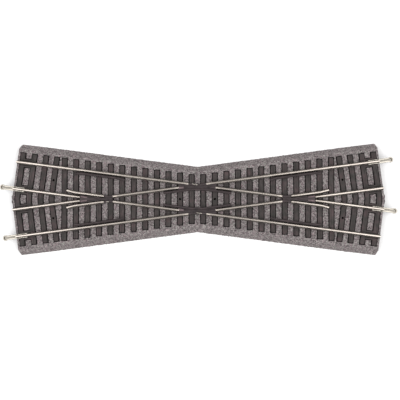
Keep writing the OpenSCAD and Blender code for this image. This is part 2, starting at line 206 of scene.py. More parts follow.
class Shape:
    """Closed solids that become one object. grain says, for each point, how far it is along, across
    and up its own piece, so that wood grain and drawing marks follow the piece."""

    def __init__(self):
        self.points, self.faces, self.grain, self.count = [], [], [], 0

    def add(self, points, faces, grain=None, quarter=(1, 1)):
        points = np.asarray(points, float)
        self.faces += [[i + self.count for i in face] for face in faces]
        self.grain.append(points if grain is None else np.asarray(grain, float))
        self.points.append(points * (quarter[0], quarter[1], 1))
        self.count += len(points)

    def loft(self, rings, grain=None, quarter=(1, 1)):
        """Joins rings of points, one after another, and closes both ends."""
        rings = np.asarray(rings, float)
        rows, around = rings.shape[:2]
        here = np.arange(rows * around).reshape(rows, around)
        there = np.roll(here, -1, axis=1)
        quads = np.stack([here[:-1], there[:-1], there[1:], here[1:]], -1).reshape(-1, 4)
        faces = quads.tolist() + [here[0].tolist(), here[-1].tolist()]
        self.add(rings.reshape(-1, 3), faces, grain, quarter)

    def sweep(self, sections, path, quarter=(1, 1)):
        """Pushes a section along a path. Its points are (to the left, up); a list of sections
        gives one for each point of the path."""
        path = np.asarray(path, float)
        sections = np.asarray(sections, float)
        if sections.ndim == 2:
            sections = np.repeat(sections[None], len(path), 0)
        sides, run = side_steps(path), distances(path)
        across, up = sections[..., 0], sections[..., 1]
        flat = path[:, None] + across[..., None] * sides[:, None]
        along = np.repeat(run[:, None], across.shape[1], 1)
        self.loft(
            np.concatenate([flat, up[..., None]], -1),
            np.stack([along, across, up], -1).reshape(-1, 3),
            quarter,
        )

    def block(self, outline, bottom, top, bevel, quarter=(1, 1), tops=None):
        """A plan outline raised from bottom to top, with a rounded upper edge. tops may lower
        single corners."""
        outline = np.asarray(outline, float)
        after = np.roll(outline, -1, 0)
        if (outline[:, 0] * after[:, 1] - outline[:, 1] * after[:, 0]).sum() < 0:
            outline = outline[::-1]
            tops = None if tops is None else tops[::-1]
        tops = np.full(len(outline), top) if tops is None else np.asarray(tops, float)
        levels = [
            (0, np.full(len(outline), bottom)),
            (0, tops - bevel),
            (0.3 * bevel, tops - 0.3 * bevel),
            (bevel, tops),
        ]
        self.loft(
            [np.column_stack([inset(outline, step), z]) for step, z in levels], None, quarter
        )

    def mesh(self, name):
        mesh = bpy.data.meshes.new(name)
        mesh.from_pydata((np.vstack(self.points) * MM).tolist(), [], self.faces)
        solid = bmesh.new()
        solid.from_mesh(mesh)
        bmesh.ops.recalc_face_normals(solid, faces=solid.faces)
        solid.to_mesh(mesh)
        solid.free()
        return mesh

    def make(self, name, material, slot, body="track", replaced=(), sharp=35, values=None):
        """The piece itself. Edges bent by more than sharp degrees stay crisp; values are further
        numbers for each point, by name."""
        mesh = self.mesh(name)
        grain = mesh.attributes.new("grain", "FLOAT_VECTOR", "POINT")
        grain.data.foreach_set("vector", np.vstack(self.grain).astype(np.float32).ravel())
        for key, value in (values or {}).items():
            attribute = mesh.attributes.new(key, "FLOAT", "POINT")
            attribute.data.foreach_set("value", np.asarray(value, np.float32))
        if sharp:
            mesh.polygons.foreach_set("use_smooth", [True] * len(mesh.polygons))
            mesh.set_sharp_from_angle(angle=math.radians(sharp))
        mesh.materials.append(material)
        piece = bpy.data.objects.new(name, mesh)
        bpy.context.scene.collection.objects.link(piece)
        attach(piece, body)
        if replaced:
            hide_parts(*replaced)
        return piece


# ---- Materials -------------------------------------------------------------------------------


class Paint:
    """A material on the Principled shader, built node by node."""

    def __init__(self, name, **constants):
        self.material = bpy.data.materials.new(name)
        self.material.use_nodes = True
        self.tree = self.material.node_tree
        self.shader = self.tree.nodes["Principled BSDF"]
        self.put(self.shader, constants)

    def put(self, node, values):
        """Gives sockets, by name or number, a constant or a link from another node's output."""
        for key, value in values.items():
            if isinstance(value, bpy.types.NodeSocket):
                self.tree.links.new(value, node.inputs[key])
            else:
                node.inputs[key].default_value = value

    def coat(self, colour, roughness):
        self.put(self.shader, {"Base Color": colour, "Roughness": roughness})

    def node(self, kind, inputs=None, **settings):
        made = self.tree.nodes.new("ShaderNode" + kind)
        for key, value in settings.items():
            setattr(made, key, value)
        self.put(made, inputs or {})
        return made

    def place(self, scale=(1, 1, 1), attribute=None):
        """Coordinates in millimetres times scale: the frame's own, or a vertex attribute's."""
        if attribute:
            source = self.node("Attribute", attribute_name=attribute).outputs["Vector"]
            factor = scale
        else:
            source = self.node("TexCoord").outputs["Object"]
            factor = tuple(s / MM for s in scale)
        return self.node("Mapping", {"Vector": source, "Scale": factor}).outputs["Vector"]

    def noise(self, place, scale, detail=3.0, roughness=0.6):
        return self.node(
            "TexNoise",
            {"Vector": place, "Scale": scale, "Detail": detail, "Roughness": roughness},
        ).outputs["Fac"]

    def cells(self, place, scale, output="Distance"):
        return self.node("TexVoronoi", {"Vector": place, "Scale": scale}).outputs[output]

    def ramp(self, value, *stops):
        """Colours or greys by value. A stop is (value, colour)."""
        made = self.node("ValToRGB", {"Fac": value})
        band = made.color_ramp
        while len(band.elements) < len(stops):
            band.elements.new(0.5)
        for element, (at, colour) in zip(band.elements, stops):
            element.position = at
            colour = (colour,) * 3 if isinstance(colour, (int, float)) else colour
            element.color = (*colour, 1)
        return made.outputs["Color"]

    def times(self, colour, tint, share=1.0):
        """A colour multiplied by another, or part of the way there."""
        made = self.node("Mix", data_type="RGBA", blend_type="MULTIPLY")
        self.put(made, {0: share, 6: colour, 7: tint})
        return made.outputs[2]

    def math(self, kind, first, second):
        return self.node("Math", {0: first, 1: second}, operation=kind).outputs["Value"]

    def by_height(self, low, high, least):
        """A grey that rises from least to 1 between two heights, in millimetres."""
        up = self.node("SeparateXYZ", {"Vector": self.place()}).outputs["Z"]
        span = {"From Min": low, "From Max": high, "To Min": least}
        return self.node("MapRange", {"Value": up, **span}).outputs["Result"]

    def bump(self, *layers):
        """Layers of (height, strength, depth in millimetres), one on another."""
        normal = None
        for height, strength, depth in layers:
            inputs = {"Height": height, "Strength": strength, "Distance": depth * MM}
            if normal:
                inputs["Normal"] = normal
            normal = self.node("Bump", inputs).outputs["Normal"]
        self.put(self.shader, {"Normal": normal})


def ballast_material(name, grains):
    """Moulded stone: mauve grey, with lighter, darker, pinkish and greenish stones. grains says
    whether it is for the modelled stones or for the bed below them."""
    paint = Paint(name, **{"Metallic": 0.0, "Specular IOR Level": 0.25})
    place = paint.place()
    cell = paint.cells(place, 1.7, output="Color")
    tone = paint.node("SeparateColor", {"Color": cell})
    stones = paint.ramp(
        tone.outputs["Red"],
        (0.0, (0.066, 0.054, 0.056)),
        (0.16, (0.122, 0.103, 0.105)),
        (0.42, (0.186, 0.161, 0.164)),
        (0.70, (0.222, 0.195, 0.194)),
        (1.0, (0.325, 0.298, 0.290)),
    )
    tint = paint.ramp(
        tone.outputs["Green"],
        (0.0, (0.86, 1.0, 0.90)),
        (0.25, 1.0),
        (0.75, 1.0),
        (1.0, (1.14, 0.93, 1.0)),
    )
    colour = paint.times(stones, tint, 0.8)
    dust = paint.noise(place, 0.16, 4.0)
    colour = paint.times(colour, paint.ramp(dust, (0.3, 0.94), (0.7, 1.06)))
    if grains:
        # Painted shade: the stones darken towards the crevices between them, and are a little
        # lighter at their middles; the skin's walls take WALL_SHADE
        crevice = paint.node("Attribute", attribute_name="crevice").outputs["Fac"]
        depth = paint.ramp(crevice, (0.0, 0.22), (0.25, 0.72), (0.5, 1.0), (1.0, 1.12))
        colour = paint.times(colour, depth)
    else:
        # Painted shade: faces that point up, chiefly the floors of the sleepers' pockets, are
        # darkened as shade at the bottom of the deep gaps
        normal = paint.node("NewGeometry").outputs["Normal"]
        faces_up = paint.node("SeparateXYZ", {"Vector": normal}).outputs["Z"]
        colour = paint.times(colour, paint.ramp(faces_up, (0.4, 1.0), (0.6, 0.15)))
    fine = paint.noise(place, 3.2, 4.0, 0.7)
    paint.coat(colour, paint.ramp(fine, (0, 0.72), (1, 0.95)))
    stone_height = paint.cells(place, 1.35)
    paint.bump((stone_height, 0.55, 0.22), (fine, 0.6, 0.12))
    return paint.material


def wood_material():
    """Moulded sleepers: dark brown grey, with grain along each one."""
    paint = Paint("sleeper_plastic", **{"Metallic": 0.0, "Specular IOR Level": 0.2})
    along = paint.place((0.16, 2.6, 1.0), "grain")
    streaks = paint.noise(along, 1.0, 5.0, 0.65)
    patches = paint.noise(paint.place(), 0.22, 3.0)
    colour = paint.ramp(
        streaks,
        (0.30, (0.028, 0.0232, 0.0222)),
        (0.50, (0.049, 0.0405, 0.0392)),
        (0.72, (0.082, 0.0690, 0.0670)),
    )
    shade = paint.ramp(patches, (0.32, (0.72, 0.80, 0.76)), (0.5, 1.0), (0.68, (1.34, 1.14, 1.20)))
    colour = paint.times(colour, shade)
    # Painted shade: each sleeper darkens down its sides below its top, as shade in the gaps beside
    # it
    colour = paint.times(colour, paint.by_height(SEAT - 0.7, SEAT - 0.08, 0.12))
    fine = paint.noise(paint.place(), 2.8, 3.0)
    paint.coat(colour, paint.ramp(streaks, (0.2, 0.78), (0.8, 0.55)))
    paint.bump((streaks, 0.5, 0.10), (fine, 0.35, 0.05))
    return paint.material


def crossing_material(name, lift):
    """Frogs and check rails: a darker, redder plastic. lift makes its colours lighter."""
    paint = Paint(name, **{"Metallic": 0.0, "Specular IOR Level": 0.3})
    place = paint.place()
    flow = paint.noise(paint.place((0.35, 1.6, 1.6)), 1.0, 4.0)
    colour = paint.ramp(
        flow,
        (0.30, (0.023 * lift, 0.0165 * lift, 0.0165 * lift)),
        (0.52, (0.040 * lift, 0.0290 * lift, 0.0292 * lift)),
        (0.74, (0.070 * lift, 0.0520 * lift, 0.0528 * lift)),
    )
    cloud = paint.noise(place, 0.3, 3.0)
    patches = paint.ramp(cloud, (0.3, (0.85, 0.85, 0.88)), (0.7, (1.18, 1.12, 1.16)))
    colour = paint.times(colour, patches)
    fine = paint.noise(place, 3.0, 3.0)
    paint.coat(colour, paint.ramp(fine, (0.2, 0.62), (0.8, 0.42)))
    paint.bump((fine, 0.4, 0.05), (flow, 0.25, 0.06))
    return paint.material


def metal_material(name, dark, light, attribute, smooth, rough, shaded=None):
    """Drawn or pressed metal: fine marks along it, and a thin uneven tarnish. attribute says where
    the marks run; shaded gives the heights between which a painted shade, darkest low down,
    thins out, and its darkest grey."""
    paint = Paint(name, Metallic=0.92)
    marks = paint.noise(paint.place((0.05, 9.0, 9.0), attribute), 1.0, 5.0, 0.7)
    tarnish = paint.noise(paint.place(), 0.12, 4.0)
    shares = paint.math("MULTIPLY", marks, 0.45), paint.math("MULTIPLY", tarnish, 0.55)
    colour = paint.ramp(paint.math("ADD", *shares), (0.34, dark), (0.62, light))
    # Painted shade: darker low down, on a rail's web and foot and on a joiner's floor and lips,
    # fading out by the upper height
    if shaded:
        colour = paint.times(colour, paint.by_height(*shaded))
    paint.coat(colour, paint.ramp(marks, (0.25, smooth), (0.75, rough)))
    paint.bump((marks, 0.25, 0.02))
    return paint.material


BALLAST = ballast_material("ballast_grains", True)
BALLAST_BODY = ballast_material("ballast_body", False)
WOOD = wood_material()
CROSSING = crossing_material("crossing_plastic", 0.95)
# A much lighter copy of the crossing plastic, for painted glints near the rails' tips
PAINTED_GLINT = crossing_material("painted_glint_plastic", 3.4)
RAIL = metal_material(
    "rail_metal", (0.41, 0.362, 0.322), (0.515, 0.462, 0.414), "grain", 0.17, 0.26,
    (SEAT + 0.45, RAIL_TOP - 0.75, 0.25),
)
SHEET = metal_material(
    "joiner_metal", (0.34, 0.315, 0.275), (0.50, 0.465, 0.41), "grain", 0.20, 0.34,
    (SEAT, SEAT + 0.7, 0.5),
)
BRONZE = metal_material("contact_metal", (0.56, 0.38, 0.18), (0.80, 0.60, 0.33), None, 0.25, 0.40)


def recoat(node, material):
    """A new material for a CAD node that keeps its shape."""
    materials = frame["nodes"][node].data.materials
    for place in range(len(materials)):
        materials[place] = material


recoat("ballast_bed", BALLAST_BODY)
for line in ("a_north", "a_south", "b_north", "b_south"):
    recoat(f"contact_strip_{line}", BRONZE)


# ---- Ballast grains --------------------------------------------------------------------------


class Stones:
    """Stones over a plane, one in each square of a grid, each with a place, height and tilt of
    its own."""

    SPREAD = 331

    def __init__(self, size, seed):
        self.size = size
        self.table = np.random.default_rng(seed).random((self.SPREAD, self.SPREAD, 5))

    def heights(self, points):
        """How high the stones stand at each point, and how far it is from a crevice, 0 to 1."""
        home = np.floor(points / self.size).astype(int)
        near = np.full(len(points), np.inf)
        second = near.copy()
        stone = np.zeros((len(points), 3))
        lean = np.zeros((len(points), 2))
        for dx in (-1, 0, 1):
            for dy in (-1, 0, 1):
                cell = home + (dx, dy)
                found = self.table[cell[:, 0] % self.SPREAD, cell[:, 1] % self.SPREAD]
                from_centre = points - (cell + 0.12 + 0.76 * found[:, :2]) * self.size
                distance = np.linalg.norm(from_centre, axis=1)
                closer = distance < near
                second = np.where(closer, near, np.minimum(second, distance))
                near = np.where(closer, distance, near)
                stone[closer] = found[closer, 2:]
                lean[closer] = from_centre[closer]
        apart = np.clip((second - near) / (0.38 * self.size), 0, 1)
        tilt = (lean * (stone[:, 1:] - 0.5)).sum(1) / self.size
        height = (0.10 + 0.13 * stone[:, 0] + 0.22 * tilt) * (0.25 + 0.75 * apart**0.6)
        return np.clip(height, 0.02, 0.3), apart


# The ballast's surface is a grid: columns across the bed, and rows along it. Its rows are spread
# over the sleepers' width, the bed's shoulder and its slope.
STONES = Stones(0.92, 11)
SWELL = Stones(3.1, 12)
GRAIN_STEP = 0.38
TURN_COLUMNS = 12
SHOULDER_ROWS = 5
SLOPE_ROWS = 16
SLOPE_RUN = BED_BASE_HALF - BED_TOP_HALF
SLOPE_LENGTH = math.hypot(SLOPE_RUN, BALLAST_TOP)
SLOPE_FOOT = 0.05
SLOPE_EDGE = BED_BASE_HALF - 0.01
END_EDGE = HALF_LENGTH - 0.03
END_CHAMFER = 0.8
SKIN_FLOOR = SLEEPER_FLOOR + 0.02
SKIN_DEPTH = 0.4
SWELL_SHARE = 0.15
CALM_FOOT = 1.2
WANDER = 0.055
FOOT_STONES = 1.5
WALL_SHADE = 0.62
POCKET_END = SLEEPER_REACH + GAP
# Between the last two sleepers, the plates beside the rails take the ballast's place. These are
# the offsets of their edges, and the rows in each stretch from the middle to the sleepers' ends.
WINDOW_EDGES = [
    -RAIL_OFFSET - PLATE_HALF - GAP, -RAIL_OFFSET + PLATE_HALF + GAP,
    RAIL_OFFSET - PLATE_HALF - GAP, RAIL_OFFSET + PLATE_HALF + GAP,
]
WINDOW_ROWS = [6, 17, 30, 17, 9]
IS_BALLAST = np.repeat([True, False, True, False, True], WINDOW_ROWS)
INNER_ROWS = sum(WINDOW_ROWS)
TOP_ROWS = INNER_ROWS + SHOULDER_ROWS


def spaced(start, end, count):
    return np.linspace(start, end, count + 1)[1:]


def straight_column(x):
    """The points of a column of the ballast's surface, at one X, from the middle outwards."""
    ends = [
        (k + side * (SLEEPER_HALF + GAP), b_line(k, SLEEPER_REACH)[1] + GAP)
        for k in STRAIGHT for side in (-1, 1)
    ]
    inner = np.interp(x, *zip(*ends))
    shoulder, foot = b_line(x, BED_TOP_HALF)[1], b_line(x, SLOPE_EDGE)[1]
    y = np.concatenate([
        [0], spaced(0, inner, INNER_ROWS), spaced(inner, shoulder, SHOULDER_ROWS),
        spaced(shoulder, foot, SLOPE_ROWS),
    ])
    return np.column_stack([np.full(len(y), x), y])


def chevron_column(along):
    """The same, square to track B."""
    breaks = [-along * RISE, *WINDOW_EDGES, POCKET_END]
    parts = [spaced(a, b, n) for a, b, n in zip(breaks, breaks[1:], WINDOW_ROWS)]
    offset = np.concatenate([
        breaks[:1], *parts, spaced(POCKET_END, BED_TOP_HALF, SHOULDER_ROWS),
        spaced(BED_TOP_HALF, SLOPE_EDGE, SLOPE_ROWS),
    ])
    last = CHEVRONS[-1] + SLEEPER_HALF + GAP
    down = np.clip((offset - BED_TOP_HALF) / SLOPE_RUN, 0, 1)
    share = max(0.0, (along - last) / (HALF_LENGTH - last))
    return np.array([on_b(along - share * END_CHAMFER * d, o) for o, d in zip(offset, down)])


def ballast_columns():
    """Every column of a quarter, with what comes after it: a ridge, a pocket or windows."""
    columns = []

    def run(start, end, kind, column):
        steps = max(2, math.ceil((end - start) / GRAIN_STEP))
        for value in np.linspace(start, end, steps + 1)[:-1]:
            columns.append((column(value), kind))

    half = SLEEPER_HALF + GAP
    edge = 0.0
    for k in STRAIGHT:
        run(edge, k - half, "ridge", straight_column)
        run(k - half, k + half, "pocket", straight_column)
        edge = k + half
    first, turning = straight_column(edge), chevron_column(CHEVRONS[0] - half)
    for share in np.linspace(0, 1, TURN_COLUMNS + 1)[:-1]:
        columns.append(((1 - share) * first + share * turning, "ridge"))
    edges = [k - half for k in CHEVRONS[1:]] + [END_EDGE]
    for k, edge, kind in zip(CHEVRONS, edges, ("ridge", "ridge", "windows", "ridge")):
        run(k - half, k + half, "pocket", chevron_column)
        run(k + half, edge, kind, chevron_column)
    return columns + [(chevron_column(END_EDGE), None)]


def closed_skin(shape, points, under, quads, crevice):
    """Adds a sheet of quads, with walls round its edges and a face under each part of it, and
    returns the crevice value of each point added."""
    edges = np.concatenate([quads[:, [i, (i + 1) % 4]] for i in range(4)])
    known = set(map(tuple, edges.tolist()))
    border = {a: b for a, b in known if (b, a) not in known}
    count = len(points)
    faces = quads.tolist() + [[b, a, a + count, b + count] for a, b in border.items()]
    while border:
        start, here = next(iter(border.items()))
        loop = [start]
        del border[start]
        while here != start:
            loop.append(here)
            here = border.pop(here)
        faces.append([i + count for i in loop])
    used = sorted({i for face in faces for i in face})
    place = {old: new for new, old in enumerate(used)}
    shape.add(np.vstack([points, under])[used], [[place[i] for i in face] for face in faces])
    return np.concatenate([crevice, np.full(count, WALL_SHADE)])[used]


def ballast_quads(kinds, rows):
    """The quads of the top's ridges and of the slope, as places in the grid's list of points."""
    here = np.arange(len(kinds) * rows).reshape(-1, rows)
    top, slope = [], []
    for kind, a, b in zip(kinds, here, here[1:]):
        for row in range(rows - 1):
            quad = [a[row], b[row], b[row + 1], a[row + 1]]
            if row >= TOP_ROWS:
                slope.append(quad)
            elif row >= INNER_ROWS or kind == "ridge" or kind == "windows" and IS_BALLAST[row]:
                top.append(quad)
    return top, slope


def wander(points):
    """A small sideways shift of each point, so that the stones' edges don't follow the grid."""
    return WANDER * np.stack([
        np.sin(points @ (4.1, 2.3)) + np.sin(points @ (-2.9, 5.7) + 1.0),
        np.sin(points @ (3.3, -4.6) + 2.0) + np.sin(points @ (5.2, 1.9) + 0.5),
    ], -1)


def ballast_quarter(name):
    """The stones of one quarter, as a skin over the CAD bed. Each quarter has its own stones."""
    turn = np.array(QUARTERS[name])
    columns = ballast_columns()
    flat = np.array([points for points, _ in columns])
    rows = flat.shape[1]
    outward = np.array([-SIN, COS])
    down = np.clip((np.arange(rows) - TOP_ROWS) / SLOPE_ROWS, 0, 1)
    z = SLOPE_FOOT + (BALLAST_TOP - SLOPE_FOOT) * (1 - down)
    slope_normal = np.array([*(outward * BALLAST_TOP), SLOPE_RUN]) / SLOPE_LENGTH
    normal = np.where(down[:, None] > 0, slope_normal, (0.0, 0.0, 1.0))
    spread = (SLOPE_LENGTH - SLOPE_RUN) * down
    unrolled = ((flat + spread[None, :, None] * outward) * turn).reshape(-1, 2)

    height, crevice = STONES.heights(unrolled)
    height = (height + SWELL_SHARE * SWELL.heights(unrolled)[0] - 0.02).reshape(-1, rows)
    calm = np.clip((z - z[-1]) / CALM_FOOT, 0, 1) ** 0.7
    from_end = (HALF_LENGTH - 0.5 - (flat @ (COS, SIN)))[..., None]
    shift = wander(unrolled).reshape(*flat.shape)
    shift *= np.clip(from_end, 0, 1) * calm[None, :, None] * turn
    # Quarters meet on the two axes, so their points there stay on them
    shift[:, 0, 1] = 0
    shift[0, :, 0] = 0

    nominal = np.concatenate([flat, np.broadcast_to(z, flat.shape[:2])[..., None]], -1)
    points = nominal + (height * calm)[..., None] * normal
    points[..., :2] += shift
    # Stones stand out at the foot of the slope, but not near the widest corners
    room = np.clip((low_high("ballast_bed")[1][1] - 0.1 - nominal[..., 1]) / 2.5, 0, 1)
    low_down = np.clip((down - 0.65) / 0.35, 0, 1)
    points[..., 1] += FOOT_STONES * np.clip(height, 0, None) * room * low_down
    under = nominal - SKIN_DEPTH * slope_normal
    under[..., 2] = np.maximum(under[..., 2], 0.02)
    under_top = nominal.copy()
    under_top[..., 2] = SKIN_FLOOR

    shape = Shape()
    kinds = [kind for _, kind in columns]
    shades = [
        closed_skin(shape, points.reshape(-1, 3), below.reshape(-1, 3), np.array(quads), crevice)
        for quads, below in zip(ballast_quads(kinds, rows), (under_top, under))
    ]
    shape.points = [p * (*turn, 1) for p in shape.points]
    shape.make(
        f"ballast_grain_{name}", BALLAST, "ballast_plastic", sharp=0,
        values={"crevice": np.concatenate(shades)},
    )


for quarter in QUARTERS:
    ballast_quarter(quarter)


# ---- Sleepers --------------------------------------------------------------------------------

chance = np.random.default_rng(21)
END_RADIUS = 0.8
END_DROP = 0.16
POINT_REACH = 3
PLATE_TOP = SEAT - 0.07
PEG_PLACES = (3.5, 5.5, 9.5)  # in sleeper pitches
PEG = [(0.75, 3.4), (0.98, 3.6), (0.98, 5.0)]
PIN_HOLE = [(0.7, SLEEPER_FLOOR - 1), (0.7, SEAT - 0.18), (0.9, SEAT + 0.02), (0.9, SEAT + 1)]


def plank_stations(reach, dips):
    """Where a sleeper's sections are, from one end to the other."""
    near_end = [0.0, 0.05, 0.15, 0.32, 0.55, END_RADIUS]
    middle = np.linspace(-reach + 1.2, reach - 1.2, int(reach * 1.7))
    places = [s for d in near_end for s in (-reach + d, reach - d)] + middle.tolist()
    for edge in np.ravel(dips):
        places = [s for s in places if abs(s - edge) >= 0.3] + [edge - 0.02, edge + 0.02]
    return np.array(sorted(places))


def plank(shape, line, reach, dips=()):
    """A sleeper whose centre line is X = line(y), with worn edges, grain and rounded ends. It is
    lower between the two ends of each dip."""
    y = plank_stations(reach, dips)
    path = np.column_stack([line(y), y])
    from_end = reach - np.abs(y)
    short = np.clip(END_RADIUS - from_end, 0, None)
    half = SLEEPER_HALF - END_RADIUS + np.sqrt(END_RADIUS**2 - short**2)
    half = half + chance.uniform(-0.03, 0.0, len(y))
    top = SEAT - END_DROP * (short / END_RADIUS) ** 2
    low = np.zeros(len(y), bool)
    for start, end in dips:
        low |= (y > start) & (y < end)
    top[low] = TIE_TOP
    ridges = chance.uniform(-0.03, 0.03, 4)
    sections = []
    for h, t in zip(half, top):
        wear = ridges + chance.uniform(-0.012, 0.012, 4)
        side = chance.uniform(0.10, 0.20, 2)
        sections.append([
            (-h, SLEEPER_FLOOR), (-h, t - side[0] - 0.06),
            (-h + 0.07, t - 0.06), (-h + 0.22, t - 0.01),
            (-0.62 * h, t + min(0, wear[0])), (-0.2 * h, t + min(0, wear[1])),
            (0.2 * h, t + min(0, wear[2])), (0.62 * h, t + min(0, wear[3])),
            (h - 0.22, t - 0.01), (h - 0.07, t - 0.06),
            (h, t - side[1] - 0.06), (h, SLEEPER_FLOOR),
        ])
    shape.sweep(sections, path)
    # No two sleepers share a stretch of grain
    shape.grain[-1][:, 0] += chance.uniform(0, 400)


def chevron_line(along, side):
    """The centre line of a chevron sleeper, with its point rounded off."""

    def line(y):
        out = np.abs(y)
        soft = np.where(out < POINT_REACH, (out**2 + POINT_REACH**2) / (2 * POINT_REACH), out)
        return side * (along / COS - RISE * soft)

    return line


def bore(piece, places):
    """Holes for track pins through a piece, each with a small countersink."""
    for x, y in places:
        cutter = Shape()
        cutter.loft(turned(x, y, PIN_HOLE, 24))
        tool = bpy.data.objects.new("cutter", cutter.mesh("cutter"))
        bpy.context.scene.collection.objects.link(tool)
        cut = piece.modifiers.new("bore", "BOOLEAN")
        cut.object, cut.operation, cut.solver = tool, "DIFFERENCE", "EXACT"
        bpy.context.view_layer.update()
        bored_piece = piece.evaluated_get(bpy.context.evaluated_depsgraph_get())
        bored_mesh = bpy.data.meshes.new_from_object(bored_piece)
        piece.modifiers.clear()
        piece.data = bored_mesh
        bpy.data.meshes.remove(tool.data)


planks = Shape()
bored = Shape()
for side in (-1, 1):
    for k in STRAIGHT:
        target = bored if k == PIN_SLEEPER else planks
        plank(target, lambda y, at=side * k: np.full(len(y), at), b_line(k, SLEEPER_REACH)[1])
    for along in CHEVRONS:
        dips = []
        if along == CHEVRONS[-1]:
            half = POCKET_HALF * COS
            rails = [on_b(along, offset)[1] for offset in (-RAIL_OFFSET, RAIL_OFFSET)]
            dips = [(turn * y - half, turn * y + half) for turn in (-1, 1) for y in rails]
        target = bored if along == CHEVRONS[0] else planks
        plank(target, chevron_line(along, side), on_b(along, SLEEPER_REACH)[1], dips)
planks.make("sleepers", WOOD, "sleeper_plastic", replaced=["sleeper_grid"])
pinned = bored.make("sleepers_with_pin_holes", WOOD, "sleeper_plastic")
pin_places = [on_b(PIN_ALONG, 0) * turn for turn in QUARTERS.values()]
bore(pinned, pin_places + [(-PIN_SLEEPER, 0), (PIN_SLEEPER, 0)])

# Ties below the rails, plates beside them near the track ends, and pegs into the bed
ties = Shape()
tie_section = [
    (-0.9, SLEEPER_FLOOR), (0.9, SLEEPER_FLOOR),
    (0.9, TIE_TOP - 0.12), (0.78, TIE_TOP), (-0.78, TIE_TOP), (-0.9, TIE_TOP - 0.12),
]
for tilt in (1, -1):
    for offset in (-RAIL_OFFSET, RAIL_OFFSET):
        ends = [on_b(along, offset) * (1, tilt) for along in (-CHEVRONS[3], CHEVRONS[3])]
        ties.sweep(tie_section, ends)
plate_start, plate_end = CHEVRONS[2] + 1.0, CHEVRONS[3] - 1.0
for turn in QUARTERS.values():
    for offset in (-RAIL_OFFSET, RAIL_OFFSET):
        for low, high, top in (
            (-PLATE_HALF, -POCKET_HALF, PLATE_TOP),
            (-POCKET_HALF, POCKET_HALF, TIE_TOP),
            (POCKET_HALF, PLATE_HALF, PLATE_TOP),
        ):
            corners = [
                on_b(plate_start, offset + low), on_b(plate_end, offset + low),
                on_b(plate_end, offset + high), on_b(plate_start, offset + high),
            ]
            ties.block(corners, SLEEPER_FLOOR, top, 0.08, turn)
for side in (-1, 1):
    for place in PEG_PLACES:
        ties.loft(turned(side * place * PITCH, 0, PEG, 24))
ties.make("sleeper_ties_and_plates", WOOD, "sleeper_plastic")


# ---- Rail chairs -----------------------------------------------------------------------------

CROSSING_END = 14
LAST = POCKET_START + 0.5
CHAIR_HALF = 0.98
CHAIR_END = 0.14
CHAIR = [
    (1.14, 0.0), (1.14, 0.5), (0.7, 0.5), (0.7, 0.66), (0.8, 0.8), (1.22, 0.85), (1.5, 0.78),
    (1.74, 0.5), (1.78, 0.0),
]


def chair(shape, centre, direction, side, quarter):
    """A chair beside the rail's foot, with a lip over it and chamfered ends."""
    stations = [-CHAIR_HALF, -CHAIR_HALF + CHAIR_END, CHAIR_HALF - CHAIR_END, CHAIR_HALF]
    full = np.array([(side * u, SEAT + z) for u, z in CHAIR])
    small = full.copy()
    small[:, 0] = side * np.minimum(side * small[:, 0], 1.66)
    small[:, 1] = np.minimum(small[:, 1], SEAT + 0.70)
    shape.sweep([small, full, full, small], [centre + s * direction for s in stations], quarter)


def chairs_on(shape, line, offset, side, start, end, quarter):
    """Chairs on every sleeper that a rail line crosses between start and end."""
    for k in STRAIGHT:
        if start < k - SLEEPER_HALF and k + SLEEPER_HALF < end:
            chair(shape, line(k, offset), TO_B if line is b_line else TO_A, side, quarter)
    for along in CHEVRONS[:3]:
        if start < along < end and line is b_line:
            chair(shape, on_b(along, offset), TO_B, side, quarter)


chairs = Shape()
for turn in QUARTERS.values():
    chairs_on(chairs, b_line, RAIL_OFFSET, 1, OUTER_START, LAST, turn)
    chairs_on(chairs, b_line, RAIL_OFFSET, -1, CROSSING_END, CHECK_SPAN[0] - 0.5, turn)
    chairs_on(chairs, b_line, RAIL_OFFSET, -1, CHECK_SPAN[1], LAST, turn)
    chairs_on(chairs, b_line, -RAIL_OFFSET, -1, END_RAIL_START, LAST, turn)
    chairs_on(chairs, b_line, -RAIL_OFFSET, 1, WING_BEND + WING_FLARE + 2, LAST, turn)
    chairs_on(chairs, a_line, RAIL_OFFSET, 1, *CLOSURE, turn)
    chairs_on(chairs, a_line, RAIL_OFFSET, -1, KNEE_CHECK[0][0], CLOSURE[1], turn)
    chairs_on(chairs, b_line, WING_OFFSET, 1, WING_START, WING_BEND, turn)
chairs.make("rail_chairs", WOOD, "sleeper_plastic")


# ---- Rails -----------------------------------------------------------------------------------

RAIL_SECTION = on_seat([
    (1.08, 0.0), (1.1, 0.03), (1.1, 0.24), (1.03, 0.31), (0.55, 0.44), (0.38, 0.52), (0.30, 0.68),
    (0.28, 1.1), (0.30, 1.5), (0.36, 1.64), (0.46, 1.70), (0.5, 1.76), (0.5, 2.28), (0.475, 2.39),
    (0.41, 2.46), (0.30, 2.49), (0.12, 2.5),
])
FILED = 0.06


def rail_piece(name, path, quarter):
    """A drawn rail, sections every few millimetres, with its two ends filed smooth."""
    run = distances(path)
    places = [run, np.arange(4, run[-1] - 1, 6.0), [FILED, run[-1] - FILED]]
    places = np.unique(np.concatenate(places))
    places = places[np.concatenate([[True], np.diff(places) > 0.04])]
    points = np.column_stack([np.interp(places, run, path[:, i]) for i in (0, 1)])
    full = np.array(RAIL_SECTION)
    filed = full.copy()
    filed[:, 0] *= 0.95
    filed[:, 1] = np.minimum(filed[:, 1], RAIL_TOP - 0.05)
    sections = [filed] + [full] * (len(points) - 2) + [filed]
    shape = Shape()
    shape.sweep(sections, points, QUARTERS[quarter])
    shape.make(f"{name}_{quarter}_drawn", RAIL, "rail_metal", replaced=[f"{name}_{quarter}"])


